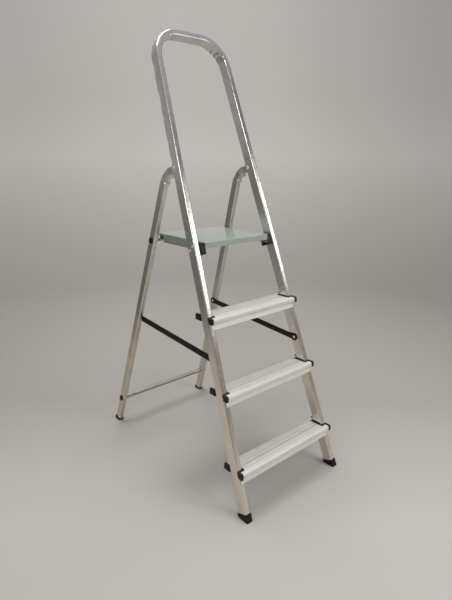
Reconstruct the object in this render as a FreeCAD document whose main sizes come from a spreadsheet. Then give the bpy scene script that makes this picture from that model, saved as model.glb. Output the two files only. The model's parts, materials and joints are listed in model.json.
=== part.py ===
import FreeCAD, Part
import math
import os
import re

import Sketcher

# Household platform stepladder with a hand hoop, modelled in millimetres, +Z up.
# +X runs across the ladder and +Y from the front feet to the rear feet.
# The origin lies on the floor, midway between the feet.

DRIVING = {
    "base_width": 450,  # across the front rails' outer faces, at the floor
    "rear_width": 452,  # across the rear legs' outer faces, at the floor
    "base_depth": 825.5,  # front face of the rails to rear face of the legs, at the floor
    "hoop_height": 1479,
    "front_lean": 20.48,  # degrees from upright
    "rear_lean": 17.76,
    "rail_taper": 2.78,  # degrees that each rail leans inward, in the plane of the front frame
    "leg_taper": 3.16,  # degrees that each leg leans inward
    "rail_width": 20,
    "rail_depth": 37,
    "rail_wall": 1.5,
    "rail_corner": 4,
    "hoop_bend": 95,  # radius of the hoop's bends, on the tube's centre line
    "leg_width": 18.8,
    "leg_depth": 30.2,
    "leg_wall": 1.5,
    "leg_corner": 4.5,
    "leg_bend": 95,
    "leg_end_rise": 12,  # degrees above level of the leg's forward end
    "pivot_height": 1045,
    "pivot_inset": 9,  # from the rail's rear face forward to the pivot
    "pivot_radius": 4,
    "tongue_width": 13,
    "tongue_height": 25,
    "tongue_length": 24,
    "running_clearance": 0.05,
    "slot_clearance": 1.2,
    "tread_first": 150,
    "tread_rise": 226,
    "tread_sheet": 1.8,
    "tread_nose": 21,  # ahead of the rail's front face
    "tread_tail": 20,  # behind the rail's rear face
    "tread_nose_height": 19,
    "tread_nose_round": 7,
    "tread_tail_height": 17,
    "flange_drop": 37,  # below the tread's top
    "flange_inset": 3,
    "groove_pitch": 9,
    "groove_width": 1.6,
    "groove_depth": 0.6,
    "cap_end": 6,  # thickness of a tread cap over the tread's end
    "cap_liner": 5,  # thickness of a tread cap around the rail
    "cap_proud": 2.4,
    "foot_wall": 1.7,
    "foot_sole": 3,
    "foot_collar": 9,
    "rear_foot_collar": 3,
    "foot_plug": 22,
    "foot_drop": 40,  # how far a foot's block runs below its tube before the floor cuts it
    "platform_height": 822,
    "platform_width": 280,
    "platform_front": 6,  # ahead of the rail's front face
    "platform_sheet": 1.5,
    "platform_lip": 19,
    "platform_side": 30,
    "platform_rear_lip": 9,
    "hinge_back": 18,  # behind the rail's front face
    "hinge_drop": 19,  # below the platform's top
    "hinge_radius": 3,
    "bracket_depth": 34,
    "bracket_height": 33,
    "side_gap": 0.5,  # between the moving platform and its brackets
    "rest_drop": 20.5,  # from the platform's top down to the rest rod's centre
    "rest_radius": 6,
    "rest_wall": 1.2,
    "hook_width": 20,
    "hook_lip": 3,
    "hook_gap": 0.5,
    "hook_fit": 0.05,  # between a hook and the pan's rear lip
    "crossbar_height": 112,
    "crossbar_radius": 8.75,
    "crossbar_wall": 1.2,
    "plug_radius": 12,
    "plug_proud": 4,
    "plug_stem": 9,
    "strap_front_height": 458,
    "strap_rear_height": 490,
    "strap_width": 21.5,
    "strap_eye": 27,
    "strap_thickness": 2.4,
    "strap_gap": 0.25,  # between a strap's eye and the tube, where they come closest
    "strap_hole_gap": 0.2,
    "tread_rivet_drop": 29,  # below the tread's top
    "bracket_rivet_drop": 9,  # below the platform's top
    "bracket_rivet_low": 24,
    "bracket_rivet_front": 10,  # behind the rail's front face
    "bracket_rivet_rear": 26,
    "bracket_rivet_tail": 9,
    "rivet_tail": 3,
    "plug_gap": 0.3,
    "plug_bevel": 3,
    "stem_gap": 0.6,
    "washer_radius": 6.5,
    "washer_thickness": 1.2,
    "washer_gap": 0.15,
    "platform_round": 1.5,
    "pin_head": 1.5,
    "pin_margin": 11,  # from the hinge pin's end to the rail
    "pin_flange": 2,
    "hook_front": 10,
    "hook_rivet_radius": 1.6,
    "rivet_radius": 2.4,
    "rivet_head": 5,
    "rivet_dome": 2,
    "rivet_gap": 0.05,
    "pivot_head": 7.5,
    "pivot_dome": 3,
    "fold_angle": 37,
}

TREADS = ("lower", "middle", "upper")
FAR = 200  # a reach that always clears the piece being cut
RAIL_REACH = 2200  # a length that always clears a rail
THROUGH = 1  # how far a cutter starts outside what it cuts
TOUCH = 0.01  # places closer than this count as one
PARALLEL = 0.99  # cosine above which two directions count as one
LEAST_CORNER = 0.5  # the smallest inner corner of a tube's wall

document = FreeCAD.newDocument("StepLadder")
sheet = document.addObject("Spreadsheet::Sheet", "Dimensions")
for row, (alias, value) in enumerate(DRIVING.items(), start=1):
    sheet.set(f"A{row}", alias)
    sheet.set(f"B{row}", str(value))
    sheet.setAlias(f"B{row}", alias)
document.recompute()

nodes = []


def size(alias):
    return float(getattr(sheet, alias))


def bind(thing, **expressions):
    for name, expression in expressions.items():
        thing.setExpression(name, f"{expression}")
    return thing


def cell(expression):
    """Expression text in which every bare alias points at the sheet."""
    return re.sub(
        r"[a-z_]+", lambda word: f"Dimensions.{word[0]}" if word[0] in DRIVING else word[0], expression
    )


def vector(x, y, z):
    return FreeCAD.Vector(x, y, z)


def turn(axis, angle):
    return FreeCAD.Rotation(vector(*axis), angle)


def place(x=0.0, y=0.0, z=0.0, axis=(0, 0, 1), angle=0.0):
    """A position, then a turn about an axis."""
    return FreeCAD.Placement(vector(x, y, z), turn(axis, angle))


def keep(thing, label):
    """Name a finished sub-part."""
    thing.Label = label
    nodes.append(thing)
    return thing


# Solids made from primitives and booleans


def box(name, length, width, height, placement):
    block = document.addObject("Part::Box", name)
    bind(block, Length=cell(length), Width=cell(width), Height=cell(height))
    block.Placement = placement
    return block


def cylinder(name, radius, height, placement):
    rod = document.addObject("Part::Cylinder", name)
    bind(rod, Radius=cell(radius), Height=cell(height))
    rod.Placement = placement
    return rod


def fuse(name, *shapes):
    joined = document.addObject("Part::MultiFuse", name)
    joined.Shapes = list(shapes)
    joined.Refine = True
    return joined


def cut(name, base, tool):
    left = document.addObject("Part::Cut", name)
    left.Base = base
    left.Tool = tool
    return left


def common(name, *shapes):
    shared = document.addObject("Part::MultiCommon", name)
    shared.Shapes = list(shapes)
    return shared


def mirror(name, source):
    """The same piece on the ladder's other side."""
    image = document.addObject("Part::Mirroring", name)
    image.Source = source
    image.Base = vector(0, 0, 0)
    image.Normal = vector(1, 0, 0)
    return image


def group(name, shapes):
    """Identical pieces, as separate solids of one node."""
    several = document.addObject("Part::Compound", name)
    several.Links = list(shapes)
    return several


def dome(name, placement, radius, rise):
    """A rivet's domed head, standing on the placement's XY plane."""
    cap = document.addObject("Part::Sphere", name)
    ball = (size(radius) ** 2 + size(rise) ** 2) / (2 * size(rise))
    bind(cap, Radius=cell(f"({radius} ^ 2 + {rise} ^ 2) / (2 * {rise})"))
    cap.Angle1 = math.degrees(math.asin((ball - size(rise)) / ball))
    cap.Placement = placement * place(z=size(rise) - ball)
    return cap


def rivet(name, placement, radius, shank, head, rise):
    """A domed rivet whose shank runs down -Z from its head."""
    stem = cylinder(f"{name}_shank", radius, f"{shank}", placement * place(z=-shank))
    return fuse(name, stem, dome(f"{name}_head", placement, head, rise))


def number(expression):
    return float(sheet.evalExpression(cell(expression)))


def outline(body, name, plane, corners):
    """A closed sketch through corners given as pairs of expressions."""
    sketch = body.newObject("Sketcher::SketchObject", name)
    attach(sketch, body, plane)
    points = [vector(*map(number, corner), 0) for corner in corners]
    for start, end in zip(points, points[1:] + points[:1]):
        sketch.addGeometry(Part.LineSegment(start, end))
    for side in range(len(points)):
        before = (side - 1) % len(points)
        sketch.addConstraint(Sketcher.Constraint("Coincident", before, 2, side, 1))
    for side, (point, corner) in enumerate(zip(points, corners)):
        for kind, value, text in (("X", point.x, corner[0]), ("Y", point.y, corner[1])):
            rule = Sketcher.Constraint(f"Distance{kind}", -1, 1, side, 1, value)
            label = f"{kind.lower()}_{side}"
            sketch.renameConstraint(sketch.addConstraint(rule), label)
            sketch.setExpression(f"Constraints.{label}", cell(text))
    return sketch


def pad(body, name, sketch, length):
    """An extrusion, half to each side of its sketch."""
    block = body.newObject("PartDesign::Pad", name)
    block.Profile = sketch
    block.Midplane = True
    block.setExpression("Length", cell(length))
    document.recompute()
    return block


def round_edges(body, name, feature, places, radius):
    """Round the edges along X that pass through the given (y, z) places."""
    chosen = []
    for count, edge in enumerate(feature.Shape.Edges, start=1):
        ends = [vertex.Point for vertex in edge.Vertexes]
        along_x = len(ends) == 2 and abs(ends[0].x - ends[1].x) > TOUCH
        if along_x and any(math.hypot(ends[0].y - y, ends[0].z - z) < TOUCH for y, z in places):
            chosen.append(f"Edge{count}")
    rounding = body.newObject("PartDesign::Fillet", name)
    rounding.Base = (feature, chosen)
    rounding.setExpression("Radius", cell(radius))
    document.recompute()
    return rounding


# Bent tubes


def section(body, name, aliases, shrink):
    """A rounded rectangle centred on the body's origin, smaller by `shrink` all round."""
    across, depth, _, corner = aliases
    half = size(across) / 2 - shrink
    rise = size(depth) / 2 - shrink
    bend = max(size(corner) - shrink, LEAST_CORNER)
    sketch = body.newObject("Sketcher::SketchObject", name)
    attach(sketch, body, "XZ_Plane")
    right, top = half - bend, rise - bend
    z = FreeCAD.Vector(0, 0, 1)
    runs = (
        ((-right, -rise), (right, -rise)),
        ((half, -top), (half, top)),
        ((right, rise), (-right, rise)),
        ((-half, top), (-half, -top)),
    )
    for start, end in runs:
        sketch.addGeometry(Part.LineSegment(vector(*start, 0), vector(*end, 0)))
    centres = ((right, -top), (right, top), (-right, top), (-right, -top))
    for quarter, centre in enumerate(centres):
        circle = Part.Circle(vector(*centre, 0), z, bend)
        first = math.radians(90 * quarter - 90)
        sketch.addGeometry(Part.ArcOfCircle(circle, first, first + math.pi / 2))
    for side in range(4):
        arc = 4 + side
        sketch.addConstraint(Sketcher.Constraint("Tangent", side, 2, arc, 1))
        sketch.addConstraint(Sketcher.Constraint("Tangent", arc, 2, (side + 1) % 4, 1))
    for side, kind in enumerate(("Horizontal", "Vertical", "Horizontal", "Vertical")):
        sketch.addConstraint(Sketcher.Constraint(kind, side))
    for arc in (5, 6, 7):
        sketch.addConstraint(Sketcher.Constraint("Equal", 4, arc))
    limits = (
        ("right", Sketcher.Constraint("DistanceX", -1, 1, 1, 1, half), across),
        ("left", Sketcher.Constraint("DistanceX", 3, 1, -1, 1, half), across),
        ("top", Sketcher.Constraint("DistanceY", -1, 1, 2, 1, rise), depth),
        ("bottom", Sketcher.Constraint("DistanceY", 0, 1, -1, 1, rise), depth),
    )
    for label, constraint, alias in limits:
        index = sketch.addConstraint(constraint)
        sketch.renameConstraint(index, label)
        sketch.setExpression(f"Constraints.{label}", f"Dimensions.{alias} / 2 - {shrink}")
    index = sketch.addConstraint(Sketcher.Constraint("Radius", 4, bend))
    sketch.renameConstraint(index, "corner")
    sketch.setExpression("Constraints.corner", f"max(Dimensions.{corner} - {shrink}; {LEAST_CORNER})")
    return sketch


def attach(sketch, body, role):
    """Lay a sketch on one of its own body's origin planes."""
    for plane in body.Origin.OriginFeatures:
        if plane.Role == role:
            sketch.AttachmentSupport = [(plane, "")]
            sketch.MapMode = "FlatFace"


def spine(body, name, runs, bends):
    """Straight runs joined by tangent bends to the left, starting from the origin along +Y."""
    sketch = body.newObject("Sketcher::SketchObject", name)
    attach(sketch, body, "XY_Plane")
    x, y, heading = 0.0, 0.0, 90.0
    last = None

    def pin_down(index, point, px, py):
        sketch.addConstraint(Sketcher.Constraint("DistanceX", -1, 1, index, point, px))
        sketch.addConstraint(Sketcher.Constraint("DistanceY", -1, 1, index, point, py))

    for step, run in enumerate(runs):
        if run > 0:
            angle = math.radians(heading)
            nx, ny = x + run * math.cos(angle), y + run * math.sin(angle)
            index = sketch.addGeometry(Part.LineSegment(vector(x, y, 0), vector(nx, ny, 0)))
            if last is None:
                sketch.addConstraint(Sketcher.Constraint("Coincident", index, 1, -1, 1))
            else:
                sketch.addConstraint(Sketcher.Constraint("Coincident", last, 2, index, 1))
            pin_down(index, 2, nx, ny)
            x, y, last = nx, ny, index
        if step < len(bends):
            radius, sweep = bends[step]
            angle = math.radians(heading + 90)
            cx, cy = x + radius * math.cos(angle), y + radius * math.sin(angle)
            circle = Part.Circle(vector(cx, cy, 0), vector(0, 0, 1), radius)
            first = math.radians(heading - 90)
            arc = Part.ArcOfCircle(circle, first, first + math.radians(sweep))
            index = sketch.addGeometry(arc)
            sketch.addConstraint(Sketcher.Constraint("Tangent", last, 2, index, 1))
            heading += sweep
            angle = math.radians(heading - 90)
            x, y = cx + radius * math.cos(angle), cy + radius * math.sin(angle)
            pin_down(index, 2, x, y)
            last = index
    return sketch


def bent_tube(name, placement, aliases, runs, bends):
    """A rounded rectangular tube; aliases name its two widths, its wall and its corner radius."""
    body = document.addObject("PartDesign::Body", name)
    path = spine(body, f"{name}_path", runs, bends)
    for kind, shrink in (("AdditivePipe", 0), ("SubtractivePipe", size(aliases[2]))):
        profile = section(body, f"{name}_{kind}_section", aliases, shrink)
        document.recompute()
        pipe = body.newObject(f"PartDesign::{kind}", f"{name}_{kind}")
        pipe.Profile = profile
        pipe.Spine = (path, [])
        document.recompute()
    body.Placement = placement
    return body


# Places shared by the sub-parts

front_lean = math.radians(size("front_lean"))
rear_lean = math.radians(size("rear_lean"))
rail_taper = math.radians(size("rail_taper"))
leg_taper = math.radians(size("leg_taper"))
rail_width = size("rail_width")
rail_depth = size("rail_depth")
leg_width = size("leg_width")
leg_depth = size("leg_depth")

# Plane of the front frame: x across, y up the rails, z out of their front faces.
front_plane = place(y=-size("base_depth") / 2, axis=(1, 0, 0), angle=90 - size("front_lean"))
# Right rail: x outward from its outer face, y up the rail, z out of its front face.
rail_frame = front_plane * place(x=size("base_width") / 2, angle=size("rail_taper"))
# Right leg: x outward from its outer face, y out of its rear face, z up the leg.
leg_frame = place(
    x=size("rear_width") / 2, y=size("base_depth") / 2, axis=(0, 1, 0), angle=-size("leg_taper")
) * place(axis=(1, 0, 0), angle=size("rear_lean"))


def rail_front_y(z):
    """Where the rails' front faces are at height z."""
    return -size("base_depth") / 2 + z * math.tan(front_lean)


def along_rail(z, depth=0.0, x=0.0):
    """How far up the rail frame the height z is, `depth` behind the front face."""
    rise = z + depth * math.sin(front_lean) - x * math.sin(rail_taper) * math.cos(front_lean)
    return rise / (math.cos(front_lean) * math.cos(rail_taper))


def along_leg(z, y=0.0, x=0.0):
    """How far up the leg frame the height z is."""
    rise = (z - x * math.sin(leg_taper)) / math.cos(leg_taper) - y * math.sin(rear_lean)
    return rise / math.cos(rear_lean)


def face_x(frame, offset, y, z):
    """Where a line along X at (y, z) meets the plane x = offset of a frame."""
    point = frame.multVec(vector(offset, 0, 0))
    normal = frame.Rotation.multVec(vector(1, 0, 0))
    return point.x + ((point.y - y) * normal.y + (point.z - z) * normal.z) / normal.x


def sideways(x, y, z):
    """A placement whose z axis points along +X."""
    return place(x, y, z, axis=(0, 1, 0), angle=90)


def rail_point(height, depth, x):
    return rail_frame.multVec(vector(x, along_rail(height, depth, x), -depth))


def leg_point(height, depth, x):
    return leg_frame.multVec(vector(x, -depth, along_leg(height, -depth, x)))


rail_start = (size("foot_sole") + rail_depth * math.sin(front_lean)) / math.cos(front_lean)
leg_start = (size("foot_sole") + leg_depth * math.sin(rear_lean)) / math.cos(rear_lean)
pivot_depth = rail_depth - size("pivot_inset")
pivot = rail_point(size("pivot_height"), pivot_depth, -rail_width / 2)
tread_tops = {
    name: size("tread_first") + step * size("tread_rise") for step, name in enumerate(TREADS)
}
platform_top = size("platform_height")
platform_front_y = rail_front_y(platform_top) - size("platform_front")
hinge_y = rail_front_y(platform_top) + size("hinge_back")
hinge_z = platform_top - size("hinge_drop")
platform_inner = size("platform_width") / 2 - size("platform_sheet")
rest = leg_point(platform_top - size("rest_drop"), leg_depth / 2, -leg_width / 2)
crossbar = leg_point(size("crossbar_height"), leg_depth / 2, -leg_width / 2)

# The rear leg's line: straight, then a bend that ends short of the pivot, where the tongue takes over.
middle_x = face_x(leg_frame, -leg_width / 2, pivot.y, pivot.z)
in_leg = leg_frame.inverse().multVec(vector(middle_x, pivot.y, pivot.z))
back, up = in_leg.y + leg_depth / 2, in_leg.z - leg_start
leg_turn = math.radians(90 - size("rear_lean") - size("leg_end_rise"))
heading = math.pi / 2 + leg_turn
straight_end = back / math.cos(heading)
leg_tangent = size("leg_bend") * math.tan(leg_turn / 2)
leg_run = up - straight_end * math.sin(heading) - leg_tangent
stop_short = (size("tongue_length") - (straight_end - leg_tangent)) / size("leg_bend")
leg_sweep = math.degrees(leg_turn - stop_short)
leg_base = leg_frame * place(-leg_width / 2, -leg_depth / 2, leg_start, (1, 1, 1), 120)
sweep = math.radians(leg_sweep)
end_x = -size("leg_bend") * (1 - math.cos(sweep))
end_y = leg_run + size("leg_bend") * math.sin(sweep)
leg_end = leg_base * place(end_x, end_y, 0, (0, 0, 1), leg_sweep)
to_tube = leg_end.Base - pivot
tongue_tilt = math.degrees(math.atan2(-to_tube.z, to_tube.y))

# Right strap, against the inner faces of a rail and a leg: x from its front rivet to its rear one, z inward.
strap_front = rail_point(size("strap_front_height"), rail_depth / 2, -rail_width)
strap_rear = leg_point(size("strap_rear_height"), leg_depth / 2, -leg_width)
strap_length = (strap_rear - strap_front).Length
strap_x = (strap_rear - strap_front).normalize()
faces = [frame.Rotation.multVec(vector(1, 0, 0)) for frame in (rail_frame, leg_frame)]
strap_y = strap_x.cross(faces[0] + faces[1]).normalize()
strap_z = strap_x.cross(strap_y)
strap_frame = FreeCAD.Placement(strap_front, FreeCAD.Rotation(strap_x, strap_y, strap_z, "XYZ"))
# The eyes stand off far enough to clear the tubes' faces, which aren't quite parallel to the strap.
eye_radius = size("strap_eye") / 2
strap_stand = size("strap_gap") + eye_radius * max(math.sin(face.getAngle(-strap_z)) for face in faces)
strap_top = strap_stand + size("strap_thickness")


# Rivets, each with the drill that cuts its hole

rivets = {}
lift = size("rivet_gap")


def add_rivet(group_name, name, placement, shank, radius="rivet_radius"):
    """A rivet of the right-hand side, kept for its group; returns its drill."""
    rivets.setdefault(group_name, []).append(
        rivet(name, placement, radius, shank, "rivet_head", "rivet_dome")
    )
    start = placement * place(z=-shank - THROUGH)
    return cylinder(f"{name}_drill", f"{radius} + rivet_gap", f"{shank + 2 * THROUGH}", start)

rail_drills = []
tread_drills = {}
for tread, top in tread_tops.items():
    height = top - size("tread_rivet_drop")
    at = rail_frame * place(
        -rail_width / 2, along_rail(height, 0, -rail_width / 2), size("tread_sheet") + lift
    )
    shank = size("tread_sheet") + size("rail_wall") + size("rivet_tail")
    tread_drills[tread] = add_rivet("tread_rivets", f"tread_rivet_{tread}", at, shank)

bracket_drills = []
bracket_shank = rail_width + size("bracket_rivet_tail")
for name, drop, behind in (
    ("upper", "bracket_rivet_drop", "bracket_rivet_front"),
    ("lower", "bracket_rivet_low", "bracket_rivet_rear"),
):
    depth = size(behind)
    at = rail_frame * place(lift, along_rail(platform_top - size(drop), depth), -depth, (0, 1, 0), 90)
    bracket_drills.append(add_rivet("bracket_rivets", f"bracket_rivet_{name}", at, bracket_shank))

strap_shank = strap_top + size("rail_wall") + size("rivet_tail")
strap_front_drill = add_rivet(
    "strap_rivets_front", "strap_rivet_front", strap_frame * place(z=strap_top + lift), strap_shank
)
strap_rear_drill = add_rivet(
    "strap_rivets_rear",
    "strap_rivet_rear",
    strap_frame * place(x=strap_length, z=strap_top + lift),
    strap_shank,
)

# Front frame: one tube bent into both rails and the hand hoop

hoop_turn = 90 - size("rail_taper")
hoop_tangent = size("hoop_bend") * math.tan(math.radians(hoop_turn) / 2)
hoop_middle = size("hoop_height") / math.cos(front_lean) - rail_width / 2
start_x = (
    size("base_width") / 2 - rail_width / 2 * math.cos(rail_taper) - rail_start * math.sin(rail_taper)
)
start_y = rail_start * math.cos(rail_taper) - rail_width / 2 * math.sin(rail_taper)
rail_run = (hoop_middle - start_y) / math.cos(rail_taper)
hoop_run = 2 * (start_x - rail_run * math.sin(rail_taper) - hoop_tangent)
frame_tube = bent_tube(
    "front_tube",
    rail_frame * place(-rail_width / 2, rail_start, -rail_depth / 2),
    ("rail_width", "rail_depth", "rail_wall", "rail_corner"),
    [rail_run - hoop_tangent, hoop_run, rail_run - hoop_tangent],
    [(size("hoop_bend"), hoop_turn)] * 2,
)

# The slot in each rail's rear wall takes the leg's tongue and gives it room to turn.
slack = size("slot_clearance")
half_tongue = size("tongue_height") / 2
open_tilt = front_lean - math.radians(tongue_tilt)
shut_tilt = math.radians(size("fold_angle")) - open_tilt
slot_above = size("pivot_inset") * math.tan(open_tilt) + half_tongue / math.cos(open_tilt) + slack
slot_below = size("pivot_inset") * math.tan(shut_tilt) + half_tongue / math.cos(shut_tilt) + slack
pivot_up = along_rail(size("pivot_height"), pivot_depth, -rail_width / 2)
slot_x = -rail_width / 2 - size("tongue_width") / 2 - slack
slot = box(
    "tongue_slot",
    "tongue_width + 2 * slot_clearance",
    f"{slot_above + slot_below}",
    f"2 * rail_wall + {THROUGH}",
    rail_frame * place(slot_x, pivot_up - slot_below, -rail_depth - THROUGH),
)
pivot_spread = size("pivot_head") * math.tan(rail_taper / math.cos(front_lean)) + lift
pivot_start = face_x(rail_frame, -rail_width, pivot.y, pivot.z) - pivot_spread
pivot_end = face_x(rail_frame, 0, pivot.y, pivot.z) + pivot_spread
pivot_line = sideways(pivot_start, pivot.y, pivot.z)
pivot_bore = cylinder(
    "pivot_bore", "pivot_radius + rivet_gap", f"{pivot_end - pivot_start}", pivot_line
)
right_cuts = fuse(
    "right_rail_cuts", slot, pivot_bore, strap_front_drill, *tread_drills.values(), *bracket_drills
)
rail_cuts = fuse("rail_cuts", right_cuts, mirror("left_rail_cuts", right_cuts))
keep(cut("front_frame", frame_tube, rail_cuts), "front_frame_tube")

# Treads: a channel with a rounded nose, notched around the rails, and a flange on their front faces

LEAN_SLOPE = "tan(front_lean * 1 deg)"
TAIL = "rail_depth / cos(front_lean * 1 deg) + tread_tail"
WEB = "- tread_nose_height + tread_sheet"


def deck(tread, top):
    """The tread's channel, as wide as the ladder's base."""
    body = document.addObject("PartDesign::Body", f"deck_{tread}")
    corners = (
        (TAIL, "- tread_tail_height"),
        (TAIL, "0"),
        ("- tread_nose", "0"),
        ("- tread_nose", "- tread_nose_height"),
        (f"- tread_nose_height * {LEAN_SLOPE}", "- tread_nose_height"),
        (f"({WEB}) * {LEAN_SLOPE}", WEB),
        ("- tread_nose + tread_sheet", WEB),
        ("- tread_nose + tread_sheet", "- tread_sheet"),
        (f"{TAIL} - tread_sheet", "- tread_sheet"),
        (f"{TAIL} - tread_sheet", "- tread_tail_height"),
    )
    profile = outline(body, f"deck_{tread}_profile", "YZ_Plane", corners)
    block = pad(body, f"deck_{tread}_pad", profile, "base_width")
    nose, thickness = size("tread_nose"), size("tread_sheet")
    outer = [(-nose, 0), (-nose, -size("tread_nose_height"))]
    block = round_edges(body, f"deck_{tread}_nose", block, outer, "tread_nose_round")
    inner = [(-nose + thickness, -thickness), (-nose + thickness, number(WEB))]
    round_edges(body, f"deck_{tread}_bore", block, inner, "tread_nose_round - tread_sheet")
    grooves = body.newObject("Sketcher::SketchObject", f"deck_{tread}_grooves")
    attach(grooves, body, "YZ_Plane")
    first = -nose + size("tread_nose_round") + size("groove_width")
    count = int((number(TAIL) - size("groove_pitch") / 2 - first) / size("groove_pitch")) + 1
    half, floor = size("groove_width") / 2, -size("groove_depth")
    for step in range(count):
        middle = first + step * size("groove_pitch")
        left, right = middle - half, middle + half
        ring = [(left, THROUGH), (right, THROUGH), (right, floor), (left, floor)]
        for start, end in zip(ring, ring[1:] + ring[:1]):
            grooves.addGeometry(Part.LineSegment(vector(*start, 0), vector(*end, 0)))
    pocket = body.newObject("PartDesign::Pocket", f"deck_{tread}_grooving")
    pocket.Profile = grooves
    pocket.Type = "ThroughAll"
    pocket.Midplane = True
    document.recompute()
    body.Placement = place(y=rail_front_y(top), z=top)
    return body


def rail_block(name, inward, outward, behind, ahead):
    """A block that follows the right rail: how far it reaches from the outer and the front face."""
    return box(
        name,
        f"{inward + outward}",
        f"{RAIL_REACH}",
        f"{behind + ahead}",
        rail_frame * place(-inward, -FAR, -behind),
    )


def both_sides(name, right):
    return fuse(f"{name}_both", right, mirror(f"{name}_left", right))


liner, cap_end, proud = size("cap_liner"), size("cap_end"), size("cap_proud")
notch = rail_block("notch", rail_width + liner, FAR, rail_depth + liner, liner)
end_trim = rail_block("end_trim", cap_end, FAR, FAR, FAR)
tread_trim = both_sides("tread_trim", fuse("tread_trim_right", notch, end_trim))
flange_trim = both_sides("flange_trim", rail_block("flange_trim_right", size("flange_inset"), FAR, FAR, FAR))
rail_space = rail_block("rail_space", rail_width, FAR, rail_depth, 0)
cap_ring = rail_block("cap_ring", rail_width + liner, proud, rail_depth + liner, liner)
cap_zone = fuse("cap_zone", cap_ring, rail_block("cap_slab", cap_end, proud, FAR, FAR))

for tread, top in tread_tops.items():
    low = (top - size("flange_drop")) / math.cos(front_lean)
    high = (top + number(f"{WEB} - tread_sheet * sin(front_lean * 1 deg)")) / math.cos(front_lean)
    flange = box(
        f"flange_{tread}",
        "base_width",
        f"{high - low}",
        "tread_sheet",
        front_plane * place(-size("base_width") / 2, low, 0),
    )
    joined = fuse(
        f"joined_{tread}",
        cut(f"trimmed_deck_{tread}", deck(tread, top), tread_trim),
        cut(f"trimmed_flange_{tread}", flange, flange_trim),
    )
    drills = both_sides(f"tread_drills_{tread}", tread_drills[tread])
    keep(cut(f"drilled_{tread}", joined, drills), f"tread_{tread}")

# Caps: a liner around the rail and a slab over the tread's end, a little proud of the deck

for tread, top in tread_tops.items():
    body = document.addObject("PartDesign::Body", f"cap_{tread}")
    corners = (
        (f"{TAIL} + cap_proud", "- tread_tail_height"),
        (f"{TAIL} + cap_proud", "cap_proud"),
        ("- tread_nose - cap_proud", "cap_proud"),
        ("- tread_nose - cap_proud", WEB),
    )
    profile = outline(body, f"cap_{tread}_profile", "YZ_Plane", corners)
    block = pad(body, f"cap_{tread}_pad", profile, "base_width + 2 * cap_end")
    front = [(-size("tread_nose") - proud, proud)]
    round_edges(body, f"cap_{tread}_nose", block, front, "tread_nose_round")
    body.Placement = place(y=rail_front_y(top), z=top)
    shell = common(f"cap_shell_{tread}", body, cap_zone)
    right = keep(cut(f"cap_{tread}_right", shell, rail_space), f"tread_cap_{tread}_right")
    keep(mirror(f"cap_{tread}_left", right), f"tread_cap_{tread}_left")

# Feet: a wedge of plastic under each tube, with a collar outside it and a plug inside


def round_along(name, block, axis, radius):
    """A block whose long edges, those along an axis, are rounded."""
    rounded = document.addObject("Part::Fillet", name)
    rounded.Base = block
    document.recompute()
    rounded.Edges = [
        (count, radius, radius)
        for count, edge in enumerate(block.Shape.Edges, start=1)
        if abs(edge.tangentAt(edge.FirstParameter).dot(axis)) > PARALLEL
    ]
    return rounded


def foot(name, frame, runs_along, across, depth, wall, tube_corner, start, collar):
    """One right-hand foot; the tube runs along the frame's y or z axis from `start`."""
    skin = size("foot_wall")
    cover = 4 * FAR
    axis = frame.Rotation.multVec(vector(0, 1, 0) if runs_along == "y" else vector(0, 0, 1))

    def block(part, inset, low, high):
        spans = [(-across + inset, -inset), (low, high), (-depth + inset, -inset)]
        if runs_along == "z":
            spans = [spans[0], spans[2], spans[1]]
        (x0, x1), (y0, y1), (z0, z1) = spans
        return box(f"{name}_{part}", f"{x1 - x0}", f"{y1 - y0}", f"{z1 - z0}", frame * place(x0, y0, z0))

    outer = block("outer", -skin, start - size("foot_drop"), start + collar)
    rounded = round_along(f"{name}_rounded", outer, axis, skin)
    ground = place(-cover, -cover, -FAR)
    floor = box(f"{name}_floor", f"{2 * cover}", f"{2 * cover}", f"{FAR}", ground)
    tube_space = block("tube_space", 0, start, start + FAR)
    shell = cut(f"{name}_shell", rounded, fuse(f"{name}_cuts", floor, tube_space))
    plug = block("plug", wall + size("plug_gap"), start - THROUGH, start + size("foot_plug"))
    return fuse(name, shell, round_along(f"{name}_stem", plug, axis, tube_corner))


for name, tube, frame, runs_along, start, collar in (
    ("front_foot", "rail", rail_frame, "y", rail_start, "foot_collar"),
    ("rear_foot", "leg", leg_frame, "z", leg_start, "rear_foot_collar"),
):
    across, depth, wall, corner = (size(f"{tube}_{part}") for part in ("width", "depth", "wall", "corner"))
    solid = foot(f"{name}_solid", frame, runs_along, across, depth, wall, corner, start, size(collar))
    right = keep(solid, f"{name}_right")
    keep(mirror(f"{name}_left_solid", right), f"{name}_left")

# Rear legs: a tube bent forward at the top, closed by a shoulder that carries the pivot tongue

leg_section = ("leg_depth", "leg_width", "leg_wall", "leg_corner")
leg_tube = bent_tube("leg_tube", leg_base, leg_section, [leg_run], [(size("leg_bend"), leg_sweep)])
shoulder = document.addObject("PartDesign::Body", "leg_shoulder")
closing = section(shoulder, "leg_shoulder_section", leg_section, size("leg_wall") / 2)
web = shoulder.newObject("PartDesign::Pad", "leg_shoulder_pad")
web.Profile = closing
web.setExpression("Length", cell("2 * leg_wall"))
shoulder.Placement = leg_end

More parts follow.
